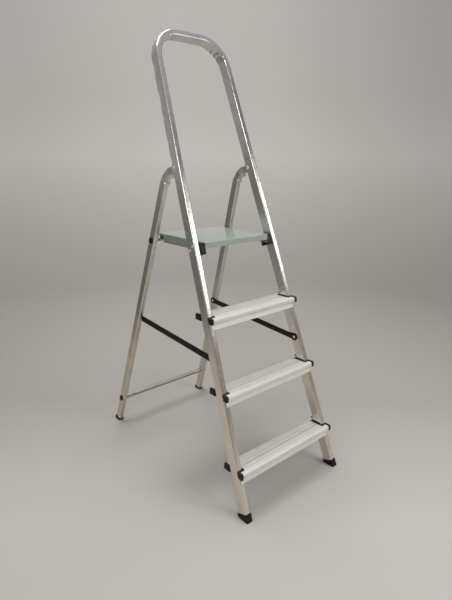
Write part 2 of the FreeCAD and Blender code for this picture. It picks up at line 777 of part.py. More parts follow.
tongue_frame = place(pivot.x, pivot.y, pivot.z, (1, 0, 0), -tongue_tilt)
tongue = box(
    "leg_tongue",
    "tongue_width",
    f"{math.hypot(to_tube.y, to_tube.z) + size('leg_wall')}",
    "tongue_height",
    tongue_frame * place(-size("tongue_width") / 2, 0, -half_tongue),
)
tip_line = sideways(pivot.x - size("tongue_width") / 2, pivot.y, pivot.z)
tip = cylinder("leg_tip", "tongue_height / 2", "tongue_width", tip_line)
leg_solid = fuse("leg_solid", leg_tube, shoulder, tongue, tip)
tongue_bore = cylinder(
    "tongue_bore",
    "pivot_radius + running_clearance",
    f"{2 * leg_depth}",
    sideways(pivot.x - leg_depth, pivot.y, pivot.z),
)
rest_hole = cylinder(
    "rest_hole", "rest_radius + rivet_gap", f"{FAR}", sideways(rest.x - FAR / 2, rest.y, rest.z)
)
crossbar_hole = cylinder(
    "crossbar_hole",
    "crossbar_radius + rivet_gap",
    f"{FAR}",
    sideways(crossbar.x - FAR / 2, crossbar.y, crossbar.z),
)
leg_cuts = fuse("leg_cuts", tongue_bore, rest_hole, crossbar_hole, strap_rear_drill)
leg_right = keep(cut("leg_right", leg_solid, leg_cuts), "rear_leg_right")
keep(mirror("leg_left", leg_right), "rear_leg_left")


def cross_tube(name, label, point, radius, wall):
    """A round tube across the ladder, its ends just inside the legs' outer faces."""
    reach = face_x(leg_frame, 0, point.y, point.z + size(radius)) - lift
    outer = cylinder(f"{name}_outer", radius, f"{2 * reach}", sideways(-reach, point.y, point.z))
    start = sideways(-reach - THROUGH, point.y, point.z)
    bore = cylinder(f"{name}_bore", f"{radius} - {wall}", f"{2 * (reach + THROUGH)}", start)
    keep(cut(name, outer, bore), label)


def plug(name, label, point, radius, wall):
    """A round cap on the leg's outer face, with a stem inside the cross tube."""
    outer_x = face_x(leg_frame, 0, point.y, point.z)
    on_face = leg_frame.inverse().multVec(vector(outer_x, point.y, point.z))
    at = leg_frame * place(on_face.x + lift, on_face.y, on_face.z, (0, 1, 0), 90)
    disc = cylinder(f"{name}_disc", "plug_radius", "plug_proud / 2", at)
    bevel = document.addObject("Part::Cone", f"{name}_bevel")
    bind(bevel, Radius1=cell("plug_radius"), Radius2=cell("plug_radius - plug_bevel"))
    bind(bevel, Height=cell("plug_proud / 2"))
    bevel.Placement = at * place(z=size("plug_proud") / 2)
    stem_start = at * place(z=-size("plug_stem"))
    stem = cylinder(f"{name}_stem", f"{radius} - {wall} - stem_gap", "plug_stem", stem_start)
    right = keep(fuse(name, disc, bevel, stem), f"{label}_right")
    keep(mirror(f"{name}_mirrored", right), f"{label}_left")


cross_tube("crossbar_tube", "lower_crossbar", crossbar, "crossbar_radius", "crossbar_wall")
plug("crossbar_plug", "crossbar_cap", crossbar, "crossbar_radius", "crossbar_wall")
cross_tube("rest_tube", "platform_rest_rod", rest, "rest_radius", "rest_wall")
plug("rest_plug", "rest_rod_cap", rest, "rest_radius", "rest_wall")

# Pivots: a rivet through both walls of the rail, and a washer on each side of the tongue

pivot_right = fuse(
    "pivot_right",
    cylinder("pivot_shank", "pivot_radius", f"{pivot_end - pivot_start}", pivot_line),
    dome("pivot_outer_dome", sideways(pivot_end, pivot.y, pivot.z), "pivot_head", "pivot_dome"),
    dome("pivot_inner_dome", pivot_line * place(axis=(1, 0, 0), angle=180), "pivot_head", "pivot_dome"),
)
keep(pivot_right, "pivot_rivet_right")
keep(mirror("pivot_left", pivot_right), "pivot_rivet_left")
washers = []
for name, side in (("outer", 1), ("inner", -1)):
    near = pivot.x + side * (size("tongue_width") / 2 + size("washer_gap"))
    start = near if side > 0 else near - size("washer_thickness")
    at = sideways(start, pivot.y, pivot.z)
    ring = cylinder(f"washer_{name}_disc", "washer_radius", "washer_thickness", at)
    bore = cylinder(f"washer_{name}_bore", "pivot_radius + rivet_gap", "washer_thickness", at)
    washers.append(cut(f"washer_{name}", ring, bore))
washers += [mirror(f"{washer.Name}_left", washer) for washer in washers]
keep(group("washers", washers), "pivot_washers")

# Platform: a folded sheet-metal pan, hinged between two brackets

pan_width, pan_sheet = size("platform_width"), size("platform_sheet")
hook_rear = rest.y + size("rest_radius") + size("hook_gap") + size("hook_lip")
pan_length = hook_rear + size("hook_fit") + pan_sheet - platform_front_y
corner = place(-pan_width / 2, platform_front_y, platform_top - size("platform_side"))
pan_block = box("pan_block", "platform_width", f"{pan_length}", "platform_side", corner)
pan_rounded = document.addObject("Part::Fillet", "pan_rounded")
pan_rounded.Base = pan_block
document.recompute()
pan_rounded.Edges = [
    (count, size("platform_round"), size("platform_round"))
    for count, edge in enumerate(pan_block.Shape.Edges, start=1)
    if edge.CenterOfMass.z > platform_top - TOUCH or abs(edge.tangentAt(edge.FirstParameter).z) > PARALLEL
]
pan_hollow = box(
    "pan_hollow",
    "platform_width - 2 * platform_sheet",
    f"{pan_length} - 2 * platform_sheet",
    "platform_side",
    corner * place(pan_sheet, pan_sheet, -pan_sheet),
)
front_gap = box(
    "pan_front_gap",
    "platform_width - 2 * platform_sheet",
    "3 * platform_sheet",
    "platform_side - platform_lip",
    corner * place(pan_sheet, -pan_sheet, 0),
)
rear_gap_start = rest.y - size("rest_radius") - size("hook_front")
rear_gap = box(
    "pan_rear_gap",
    f"platform_width + {2 * THROUGH}",
    f"{FAR}",
    "platform_side - platform_rear_lip",
    place(-pan_width / 2 - THROUGH, rear_gap_start, platform_top - size("platform_side")),
)
pin_line = sideways(platform_inner - size("pin_head"), hinge_y, hinge_z)
pin_bore = cylinder("pin_bore", "hinge_radius + rivet_gap", f"{FAR}", pin_line)
hook_x = platform_inner - size("hook_width") / 2
hook_rivet_y = rear_gap_start + size("hook_front") / 2
hook_under = rest.z + size("rest_radius") + size("hook_gap")
hook_rivet_at = place(hook_x, hook_rivet_y, hook_under - lift, (1, 0, 0), 180)
hook_shank = platform_top - pan_sheet / 2 - hook_under + lift
hook_drill = add_rivet("hook_rivets", "hook_rivet", hook_rivet_at, hook_shank, "hook_rivet_radius")
hook_hole = cylinder(
    "hook_hole",
    "hook_rivet_radius + rivet_gap",
    f"{hook_shank + lift}",
    hook_rivet_at * place(z=-hook_shank - lift),
)
pan_cuts = fuse(
    "pan_cuts",
    pan_hollow,
    front_gap,
    rear_gap,
    both_sides("pin_bore", pin_bore),
    both_sides("hook_hole", hook_hole),
)
keep(cut("pan", pan_rounded, pan_cuts), "platform_pan")

# Hooks: each lies under the pan and reaches down behind the rest rod

hook_block = box(
    "hook_block",
    "hook_width",
    f"{hook_rear - rear_gap_start}",
    f"{platform_top - pan_sheet - rest.z}",
    place(platform_inner - size("hook_width") - lift, rear_gap_start, rest.z),
)
rod_space = cylinder(
    "rod_space", "rest_radius + hook_gap", f"{FAR}", sideways(hook_x - FAR / 2, rest.y, rest.z)
)
way_out = box(
    "rod_way_out",
    f"{FAR}",
    f"{rest.y - rear_gap_start + THROUGH}",
    f"{hook_under - rest.z + THROUGH}",
    place(hook_x - FAR / 2, rear_gap_start - THROUGH, rest.z - THROUGH),
)
hook_right = keep(
    cut("hook_right", hook_block, fuse("hook_cuts", rod_space, way_out, hook_drill)), "platform_hook_right"
)
keep(mirror("hook_left", hook_right), "platform_hook_left")

# Brackets: a plastic block on each rail, beside the pan, that holds the platform's hinge pin

low = along_rail(platform_top - size("bracket_height"), 0, -rail_width)
bracket_rear = -rail_depth / 2 - size("bracket_depth") / 2
bracket_block = box(
    "bracket_block",
    "base_width / 2",
    f"{along_rail(platform_top, 0, -rail_width) - low}",
    "bracket_depth",
    rail_frame * place(-rail_width - size("base_width") / 2, low, bracket_rear),
)
beside_pan = box(
    "beside_pan",
    "platform_width / 2 + side_gap + base_width",
    f"{FAR}",
    f"{FAR}",
    place(-size("base_width"), hinge_y - FAR / 2, hinge_z - FAR / 2),
)
pin_end = face_x(rail_frame, -rail_width, hinge_y, hinge_z) - size("pin_margin")
pin_socket = cylinder(
    "pin_socket",
    "hinge_radius + running_clearance",
    f"{pin_end - platform_inner + size('running_clearance') + THROUGH}",
    sideways(platform_inner - THROUGH, hinge_y, hinge_z),
)
bracket_right = keep(
    cut("bracket_right", bracket_block, fuse("bracket_cuts", beside_pan, pin_socket, *bracket_drills)),
    "platform_bracket_right",
)
keep(mirror("bracket_left", bracket_right), "platform_bracket_left")
pin_right = keep(
    fuse(
        "pin_right",
        cylinder("pin_shank", "hinge_radius", f"{pin_end - platform_inner + size('pin_head')}", pin_line),
        cylinder("pin_disc", "hinge_radius + pin_flange", "pin_head - rivet_gap", pin_line),
    ),
    "platform_hinge_pin_right",
)
keep(mirror("pin_left", pin_right), "platform_hinge_pin_left")

# Straps: flat, with a round eye at each end

base = strap_frame * place(z=strap_stand)
strap_solid = fuse(
    "strap_solid",
    box(
        "strap_band",
        f"{strap_length}",
        "strap_width",
        "strap_thickness",
        base * place(0, -size("strap_width") / 2, 0),
    ),
    cylinder("strap_front_eye", "strap_eye / 2", "strap_thickness", base),
    cylinder("strap_rear_eye", "strap_eye / 2", "strap_thickness", base * place(x=strap_length)),
)
strap_holes = [
    cylinder(
        f"strap_{end}_hole",
        "rivet_radius + strap_hole_gap",
        f"strap_thickness + {2 * THROUGH}",
        base * place(x=at, z=-THROUGH),
    )
    for end, at in (("front", 0), ("rear", strap_length))
]
holes = fuse("strap_holes", *strap_holes)
strap_right = keep(cut("strap_right", strap_solid, holes), "safety_strap_right")
keep(mirror("strap_left", strap_right), "safety_strap_left")

for label, right_side in rivets.items():
    left_side = [mirror(f"{piece.Name}_left", piece) for piece in right_side]
    keep(group(f"{label}_group", right_side + left_side), label)


def finish():
    """Check every object, then write each sub-part to its own file."""
    document.recompute()
    for thing in document.Objects:
        if {"Invalid", "Error"} & set(thing.State):
            raise RuntimeError(f"{thing.Name} did not compute")
    os.makedirs("parts", exist_ok=True)
    for thing in nodes:
        if thing.Shape.isNull() or not thing.Shape.isValid():
            raise RuntimeError(f"{thing.Label} has no valid shape")
        thing.Shape.exportStep(os.path.join("parts", f"{thing.Label}.step"))
        print(thing.Label, len(thing.Shape.Solids), round(thing.Shape.Volume))


finish()
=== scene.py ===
"""The looks of a folding platform stepladder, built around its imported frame. Lengths are in metres."""

import json
import math

import bmesh
import bpy
from mathutils import Matrix, Vector, noise


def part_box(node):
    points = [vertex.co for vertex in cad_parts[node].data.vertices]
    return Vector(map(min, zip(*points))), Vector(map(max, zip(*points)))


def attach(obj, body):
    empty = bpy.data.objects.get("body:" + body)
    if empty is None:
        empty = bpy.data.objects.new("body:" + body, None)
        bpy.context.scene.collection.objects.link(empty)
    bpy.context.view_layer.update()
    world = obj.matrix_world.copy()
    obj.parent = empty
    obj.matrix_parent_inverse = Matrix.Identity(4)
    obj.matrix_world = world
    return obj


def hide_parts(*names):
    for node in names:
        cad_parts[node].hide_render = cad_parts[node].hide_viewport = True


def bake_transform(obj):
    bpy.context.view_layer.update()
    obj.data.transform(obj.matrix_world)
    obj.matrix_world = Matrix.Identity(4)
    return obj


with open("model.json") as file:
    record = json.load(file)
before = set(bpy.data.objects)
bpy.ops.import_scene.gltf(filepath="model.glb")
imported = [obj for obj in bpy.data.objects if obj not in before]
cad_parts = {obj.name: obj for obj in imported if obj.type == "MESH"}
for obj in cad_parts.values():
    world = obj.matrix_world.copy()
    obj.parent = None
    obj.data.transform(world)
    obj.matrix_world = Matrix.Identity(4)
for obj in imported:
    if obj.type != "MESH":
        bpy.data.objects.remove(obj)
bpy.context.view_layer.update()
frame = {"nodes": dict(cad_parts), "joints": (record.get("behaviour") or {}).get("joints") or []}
nodes = frame["nodes"]

# The frame's driving dimensions
BASE_WIDTH = 0.450  # across the rails' outer faces, at the floor
BASE_DEPTH = 0.8255  # from the rails' front faces to the legs' rear faces, at the floor
REAR_WIDTH = 0.452
FRONT_LEAN = math.radians(20.48)
REAR_LEAN = math.radians(17.76)
RAIL_TAPER = math.radians(2.78)
LEG_TAPER = math.radians(3.16)
HOOP_HEIGHT = 1.479
RAIL_WIDTH, RAIL_DEPTH, RAIL_WALL, RAIL_CORNER = 0.020, 0.037, 0.0015, 0.004
LEG_WIDTH, LEG_DEPTH, LEG_CORNER = 0.0188, 0.0302, 0.0045
BEND = 0.095  # radius of every bend, on the tube's centre line
LEG_END_RISE = math.radians(12)
TONGUE_WIDTH, TONGUE_HEIGHT, TONGUE_LENGTH, TONGUE_CORNER = 0.013, 0.025, 0.024, 0.003
SLOT_REACH = (0.0221, 0.0143)  # below and above the pivot, along the rail
SLOT_CLEARANCE = 0.0012  # on each side of the tongue
FOOT_SOLE = 0.003
CAP_END, CAP_LINER = 0.006, 0.005
TREAD_SHEET, TREAD_NOSE, TREAD_TAIL = 0.0018, 0.021, 0.020
NOSE_HEIGHT, TAIL_HEIGHT, FLANGE_DROP = 0.019, 0.017, 0.037

MIRROR = Matrix.Scale(-1, 4, (1, 0, 0))
SIDES = ("right", "left")
TREADS = ("lower", "middle", "upper")


def shift(x=0.0, y=0.0, z=0.0):
    return Matrix.Translation((x, y, z))


def turn(angle, axis):
    return Matrix.Rotation(angle, 4, axis)


# x across, y up the rails, z out of their front faces
front_plane = shift(y=-BASE_DEPTH / 2) @ turn(math.pi / 2 - FRONT_LEAN, "X")
# The right rail: x outward from its outer face, y up the rail, z out of its front face
rail_frame = front_plane @ shift(BASE_WIDTH / 2) @ turn(RAIL_TAPER, "Z")
# The right leg: x outward from its outer face, y out of its rear face, z up the leg
leg_frame = shift(REAR_WIDTH / 2, BASE_DEPTH / 2) @ turn(-LEG_TAPER, "Y") @ turn(REAR_LEAN, "X")
joints = {joint["name"]: joint for joint in frame["joints"]}
pivot = Vector(joints["rear_frame_fold"]["pos_m"])


def face_x(plane, offset, y, z):
    """Where a line along X at (y, z) meets the plane x = offset of a frame."""
    point = plane @ Vector((offset, 0, 0))
    normal = plane.to_3x3() @ Vector((1, 0, 0))
    return point.x + ((point.y - y) * normal.y + (point.z - z) * normal.z) / normal.x


# Mesh helpers

SHARP = math.radians(32)
NEARLY = 1e-6  # lengths closer than this are the same


def shade(mesh):
    """Smooth shading, broken at edges sharper than SHARP."""
    work = bmesh.new()
    work.from_mesh(mesh)
    for face in work.faces:
        face.smooth = True
    for edge in work.edges:
        edge.smooth = len(edge.link_faces) == 2 and edge.calc_face_angle(0) < SHARP
    work.to_mesh(mesh)
    work.free()


def new_piece(name, mesh, material=None):
    """An object for a mesh, in the scene."""
    piece = bpy.data.objects.new(name, mesh)
    bpy.context.scene.collection.objects.link(piece)
    if material:
        mesh.materials.clear()
        mesh.materials.append(material)
    return piece


def dress(piece, material, body, slot, *replaced):
    """Material, body and the nodes that a piece stands for. The record slot argument is not used."""
    piece.data.materials.clear()
    piece.data.materials.append(material)
    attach(piece, body)
    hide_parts(*replaced)
    return piece


def settle(piece):
    """Makes a piece's modifiers part of its mesh."""
    bpy.context.view_layer.update()
    depsgraph = bpy.context.evaluated_depsgraph_get()
    mesh = bpy.data.meshes.new_from_object(piece.evaluated_get(depsgraph))
    piece.modifiers.clear()
    piece.data = mesh
    return piece


def block(place, low, high):
    """A plain box in a frame, used as a cutter."""
    work = bmesh.new()
    bmesh.ops.create_cube(work, size=1.0)
    middle = (Vector(low) + Vector(high)) / 2
    span = Vector(high) - Vector(low)
    bmesh.ops.transform(work, matrix=place @ shift(*middle) @ Matrix.Diagonal((*span, 1)), verts=work.verts)
    if place.determinant() < 0:
        bmesh.ops.reverse_faces(work, faces=work.faces)
    mesh = bpy.data.meshes.new("block")
    work.to_mesh(mesh)
    work.free()
    return new_piece("block", mesh)


def mirrored(mesh, name):
    """The same mesh on the ladder's other side."""
    work = bmesh.new()
    work.from_mesh(mesh)
    bmesh.ops.transform(work, matrix=MIRROR, verts=work.verts)
    bmesh.ops.reverse_faces(work, faces=work.faces)
    copy = bpy.data.meshes.new(name)
    work.to_mesh(copy)
    work.free()
    return copy


def carve(piece, cutters):
    """Takes the cutters' shapes out of a piece, and removes the cutters."""
    for cutter in cutters:
        cutting = piece.modifiers.new("carve", "BOOLEAN")
        cutting.operation = "DIFFERENCE"
        cutting.solver = "EXACT"
        cutting.object = cutter
    settle(piece)
    for cutter in cutters:
        bpy.data.objects.remove(cutter)
    return piece


def softened(name, node, width, segments=2):
    """A CAD node's shape as one clean mesh with its edges rounded."""
    work = bmesh.new()
    work.from_mesh(nodes[node].data)
    bmesh.ops.remove_doubles(work, verts=work.verts, dist=NEARLY)
    bmesh.ops.dissolve_limit(work, angle_limit=math.radians(1), verts=work.verts, edges=work.edges)
    edges = [e for e in work.edges if len(e.link_faces) == 2 and e.calc_face_angle(0) > SHARP]
    bmesh.ops.bevel(
        work, geom=edges, offset=width, segments=segments, profile=0.5, affect="EDGES", clamp_overlap=True
    )
    mesh = bpy.data.meshes.new(name)
    work.to_mesh(mesh)
    work.free()
    shade(mesh)
    return new_piece(name, mesh)


# Tubes

ROUND = 4  # steps around a corner
SUPPORT = 0.0006  # from a corner to the nearest point on the flat beside it
STRAIGHT_STEP = 0.008
BEND_STEP = 0.0025


def ring(half_x, half_z, corner):
    """Points around a rounded rectangle, closely spaced at its corners."""
    points = []
    for quarter, (side_x, side_z) in enumerate(((1, 1), (-1, 1), (-1, -1), (1, -1))):
        centre = Vector((side_x * (half_x - corner), side_z * (half_z - corner)))
        for step in range(ROUND + 1):
            angle = math.radians(90) * (quarter + step / ROUND)
            points.append(centre + corner * Vector((math.cos(angle), math.sin(angle))))
        end = points[-1]
        along = Vector(((-1, 0), (0, -1), (1, 0), (0, 1))[quarter])
        run = 2 * ((half_x, half_z)[quarter % 2] - corner)
        points += [end + along * at for at in (SUPPORT, run * 0.25, run * 0.5, run * 0.75, run - SUPPORT)]
    return points


def route(start, runs, bends, stops=()):
    """Stations along straight runs joined by bends towards -x: (frame, distance, bend number, share of the bend)."""
    stations = []
    here, gone = start, 0.0
    for number, run in enumerate(runs):
        count = max(1, math.ceil(run / STRAIGHT_STEP))
        marks = sorted({run * step / count for step in range(count)} | {s - gone for s in stops if 0 < s - gone < run})
        stations += [(here @ shift(y=mark), gone + mark, None, 0.0) for mark in marks]
        here, gone = here @ shift(y=run), gone + run
        if number < len(bends):
            radius, sweep = bends[number]
            count = math.ceil(radius * sweep / BEND_STEP)
            for step in range(count):
                angle = sweep * step / count
                place = here @ shift(-radius) @ turn(angle, "Z") @ shift(radius)
                stations.append((place, gone + radius * angle, number, step / count))
            here = here @ shift(-radius) @ turn(sweep, "Z") @ shift(radius)
            gone += radius * sweep
    return stations + [(here, gone, None, 1.0)]


def sweep_tube(name, stations, section, dent, closed):
    """A skin through the stations. section(station) gives a ring; dent(station, x, z) moves a point of it."""
    vertices, grain = [], []
    for station in stations:
        place, distance = station[:2]
        for x, z in section(station):
            moved = Vector((x, 0, z)) + dent(station, x, z)
            vertices.append(place @ moved)
            grain.append((x, distance, z))
    around = len(vertices) // len(stations)
    faces = []
    for row in range(len(stations) - 1):
        for side in range(around):
            after = (side + 1) % around
            low, high = row * around, (row + 1) * around
            faces.append((low + side, high + side, high + after, low + after))
    if closed:
        faces.append(tuple(range(around)))
        faces.append(tuple(range(len(vertices) - 1, len(vertices) - 1 - around, -1)))
    mesh = bpy.data.meshes.new(name)
    mesh.from_pydata(vertices, [], faces)
    attribute = mesh.attributes.new("grain", "FLOAT_VECTOR", "POINT")
    attribute.data.foreach_set("vector", [value for point in grain for value in point])
    return mesh, around


def bump_up(share, start, end):
    """0 outside start to end, rising smoothly to 1 midway."""
    if not start < share < end:
        return 0.0
    return math.sin(math.pi * (share - start) / (end - start)) ** 2


def crinkle(share, distance, x, z, half, count, depth, seed):
    """How a tube's wall buckles on the inside of a bend: folds across its inner face, bulging at its edges."""
    half_x, half_z = half
    inner = max(0.0, -x / half_x) ** 2
    if share <= 0 or share >= 1 or inner == 0:
        return Vector((0, 0, 0))
    envelope = bump_up(share, 0.02, 0.98) ** 0.5
    wander = noise.noise(Vector((distance * 60, seed, z * 20)))
    fold = math.sin(2 * math.pi * (share * count + 0.35 * wander))
    edge = abs(z) / half_z
    inward = depth * envelope * inner * (0.3 + 0.7 * fold) * (1 - 0.3 * edge)
    outward = 0.9 * depth * envelope * inner * max(0.0, -fold) * edge**3
    return Vector((inward, 0, math.copysign(outward, z)))


# Front frame: one tube bent into both rails and the hand hoop

rail_start = (FOOT_SOLE + RAIL_DEPTH * math.sin(FRONT_LEAN)) / math.cos(FRONT_LEAN)
hoop_turn = math.pi / 2 - RAIL_TAPER
hoop_tangent = BEND * math.tan(hoop_turn / 2)
start_x = BASE_WIDTH / 2 - RAIL_WIDTH / 2 * math.cos(RAIL_TAPER) - rail_start * math.sin(RAIL_TAPER)
start_y = rail_start * math.cos(RAIL_TAPER) - RAIL_WIDTH / 2 * math.sin(RAIL_TAPER)
rail_run = (HOOP_HEIGHT / math.cos(FRONT_LEAN) - RAIL_WIDTH / 2 - start_y) / math.cos(RAIL_TAPER)
hoop_run = 2 * (start_x - rail_run * math.sin(RAIL_TAPER) - hoop_tangent)
pivot_side = face_x(rail_frame, -RAIL_WIDTH / 2, pivot.y, pivot.z)
pivot_up = (rail_frame.inverted() @ Vector((pivot_side, pivot.y, pivot.z))).y - rail_start
tube_length = 2 * (rail_run - hoop_tangent + BEND * hoop_turn) + hoop_run
slot_stops = [pivot_up - SLOT_REACH[0], pivot_up + SLOT_REACH[1]]
slot_stops += [tube_length - stop for stop in slot_stops]
RAIL_WAVE = 0.0006  # how far the rail's rear edge wanders
DENT = 0.009  # depth of the pits worn into that edge
WORN_FROM, WORN_FADE = 1.05, 0.15  # the wear starts this far up the tube and grows over the next stretch
HOOP_FOLDS, HOOP_FOLD_DEPTH = 7, 0.0036  # in each bend of the hoop


def rail_section(_):
    """The same ring at every station."""
    return ring(RAIL_WIDTH / 2, RAIL_DEPTH / 2, RAIL_CORNER)


def rail_dent(station, x, z):
    """The rear edge's wander and pits near the hoop, and the folds in the hoop's bends."""
    _, distance, bend, share = station
    rear = max(0.0, -z / (RAIL_DEPTH / 2)) ** 3
    wave = noise.noise(Vector((distance * 22, 3.1, 0))) + 0.5 * noise.noise(Vector((distance * 70, 8.4, 0)))
    near_hoop = min(1.0, max(0.0, (min(distance, tube_length - distance) - WORN_FROM) / WORN_FADE))
    move = Vector((0, 0, RAIL_WAVE * wave * rear * near_hoop))
    outer = max(0.0, x / (RAIL_WIDTH / 2))
    pits = max(0.0, noise.noise(Vector((distance * 48, 1.7, 0))) - 0.1)
    move -= Vector((DENT * pits * outer * rear * near_hoop, 0, 0))
    if bend is not None:
        lean = 0.3 + 0.7 * max(0.0, -z / (RAIL_DEPTH / 2))
        half = (RAIL_WIDTH / 2, RAIL_DEPTH / 2)
        move += lean * crinkle(share, distance, x, z, half, HOOP_FOLDS, HOOP_FOLD_DEPTH, bend)
    return move


def make_front_tube(material):
    """The skin, open where the legs' tongues pass through the rails' rear walls, given the tube's wall."""
    start = rail_frame @ shift(-RAIL_WIDTH / 2, rail_start, -RAIL_DEPTH / 2)
    runs = [rail_run - hoop_tangent, hoop_run, rail_run - hoop_tangent]
    stations = route(start, runs, [(BEND, hoop_turn)] * 2, slot_stops)
    mesh, around = sweep_tube("front_frame_skin", stations, rail_section, rail_dent, closed=False)
    section = rail_section(None)
    half_slot = TONGUE_WIDTH / 2 + SLOT_CLEARANCE
    across = [
        number
        for number in range(around)
        if all(point.y < 0 and abs(point.x) < half_slot for point in (section[number], section[(number + 1) % around]))
    ]
    along = [
        row
        for row, (before, after) in enumerate(zip(stations, stations[1:]))
        for low, high in (slot_stops[:2], slot_stops[:1:-1])  # the left rail's stops are in falling order
        if low - NEARLY < before[1] and after[1] < high + NEARLY
    ]
    work = bmesh.new()
    work.from_mesh(mesh)
    work.faces.ensure_lookup_table()
    slot_faces = [work.faces[row * around + number] for row in along for number in across]
    bmesh.ops.delete(work, geom=slot_faces, context="FACES")
    work.to_mesh(mesh)
    work.free()
    shade(mesh)
    piece = new_piece("front_frame_skin", mesh)
    wall = piece.modifiers.new("wall", "SOLIDIFY")
    wall.thickness = RAIL_WALL
    wall.offset = -1
    return dress(piece, material, "front_frame", "frame_aluminium", "front_frame_tube")


# Rear legs: each bent forward at the top, then pressed flat into the tongue that turns on the pivot

leg_start = (FOOT_SOLE + LEG_DEPTH * math.sin(REAR_LEAN)) / math.cos(REAR_LEAN)
leg_middle = face_x(leg_frame, -LEG_WIDTH / 2, pivot.y, pivot.z)
in_leg = leg_frame.inverted() @ Vector((leg_middle, pivot.y, pivot.z))
leg_turn = math.pi / 2 - REAR_LEAN - LEG_END_RISE
leg_end_run = -(in_leg.y + LEG_DEPTH / 2) / math.sin(leg_turn)
leg_tangent = BEND * math.tan(leg_turn / 2)
leg_run = in_leg.z - leg_start - leg_end_run * math.cos(leg_turn) - leg_tangent
leg_length = leg_run + BEND * leg_turn + leg_end_run - leg_tangent
PRESS_LENGTH = 0.012  # over which the tube is pressed down to the tongue
LEG_FOLDS, LEG_FOLD_DEPTH, LEG_SINK = 3, 0.0075, 0.0042  # in the bend, and how far its side faces wave
LEG_SEED = 5
TIP_STEPS = 8  # around the tongue's round end


def mix(a, b, share):
    return a + (b - a) * share


def leg_section(station):
    """The tube's ring, pressed to the tongue's near the end and rounded off beyond the pivot."""
    left = leg_length - station[1]
    share = min(1.0, max(0.0, (TONGUE_LENGTH + PRESS_LENGTH - left) / PRESS_LENGTH))
    share = share * share * (3 - 2 * share)
    half_x = mix(LEG_DEPTH, TONGUE_HEIGHT, share) / 2
    if left < 0:
        half_x = math.sqrt(max(half_x**2 - left**2, 1e-8))
    corner = min(mix(LEG_CORNER, TONGUE_CORNER, share), half_x * 0.98)
    return ring(half_x, mix(LEG_WIDTH, TONGUE_WIDTH, share) / 2, corner)


def leg_dent(station, x, z):
    """The folds and waves in a leg's bend, fading out where the tongue begins."""
    _, distance, bend, share = station
    left = leg_length - distance
    move = Vector((0, 0, 0))
    if bend is not None and left > TONGUE_LENGTH:
        limit = min(1.0, (left - TONGUE_LENGTH) / PRESS_LENGTH)
        half = (LEG_DEPTH / 2, LEG_WIDTH / 2)
        move += limit * crinkle(share, distance, x, z, half, LEG_FOLDS, LEG_FOLD_DEPTH, LEG_SEED)
        sink = LEG_SINK * bump_up(share, 0.1, 0.95) * noise.noise(Vector((distance * 75, x * 60, z * 40)))
        move += limit * Vector((0, 0, math.copysign(sink, z)))
    return move


def make_legs(material):
    """The right leg's skin, and the left one as its mirror image."""
    # The tube runs along y and bends towards -x, so the leg's z becomes y and its y becomes x
    tube_axes = turn(math.radians(120), Vector((1, 1, 1)))
    start = leg_frame @ shift(-LEG_WIDTH / 2, -LEG_DEPTH / 2, leg_start) @ tube_axes
    stations = route(start, [leg_run, leg_end_run - leg_tangent], [(BEND, leg_turn)])
    end, gone = stations[-1][0], stations[-1][1]
    tip = TONGUE_HEIGHT / 2
    stations += [
        (end @ shift(y=tip * math.sin(a)), gone + tip * math.sin(a), None, 1.0)
        for a in (math.radians(90) * step / TIP_STEPS for step in range(1, TIP_STEPS + 1))
    ]
    mesh, _ = sweep_tube("rear_leg_skin_right", stations, leg_section, leg_dent, closed=True)
    shade(mesh)
    for side in SIDES:
        skin = mesh if side == "right" else mirrored(mesh, "rear_leg_skin_left")
        piece = new_piece(f"rear_leg_skin_{side}", skin)
        dress(piece, material, "rear_frame", "frame_aluminium", f"rear_leg_{side}")


# Treads: an extruded channel with ribs along its top, notched around the rails

RIB_PITCH, RIB_RISE = 0.0036, 0.0005
PLAIN_BAND = 0.010  # smooth metal at the nose and at the tail
GROOVES = (0.0, 0.016, 0.032, 0.047)  # broader grooves, behind the rails' front faces
NOSE_ROUND, TAIL_ROUND = 0.007, 0.002
BROAD_DEPTH = 2.2  # of a broad groove, in ribs' rises
BEYOND = 2.0  # past the tread on every side, for what cuts it


def arc(centre, radius, start, end, steps):
    """Points on a circle from one angle to another, in degrees."""
    angles = (math.radians(start + (end - start) * step / steps) for step in range(steps + 1))
    return [Vector((centre[0] + radius * math.cos(a), centre[1] + radius * math.sin(a))) for a in angles]


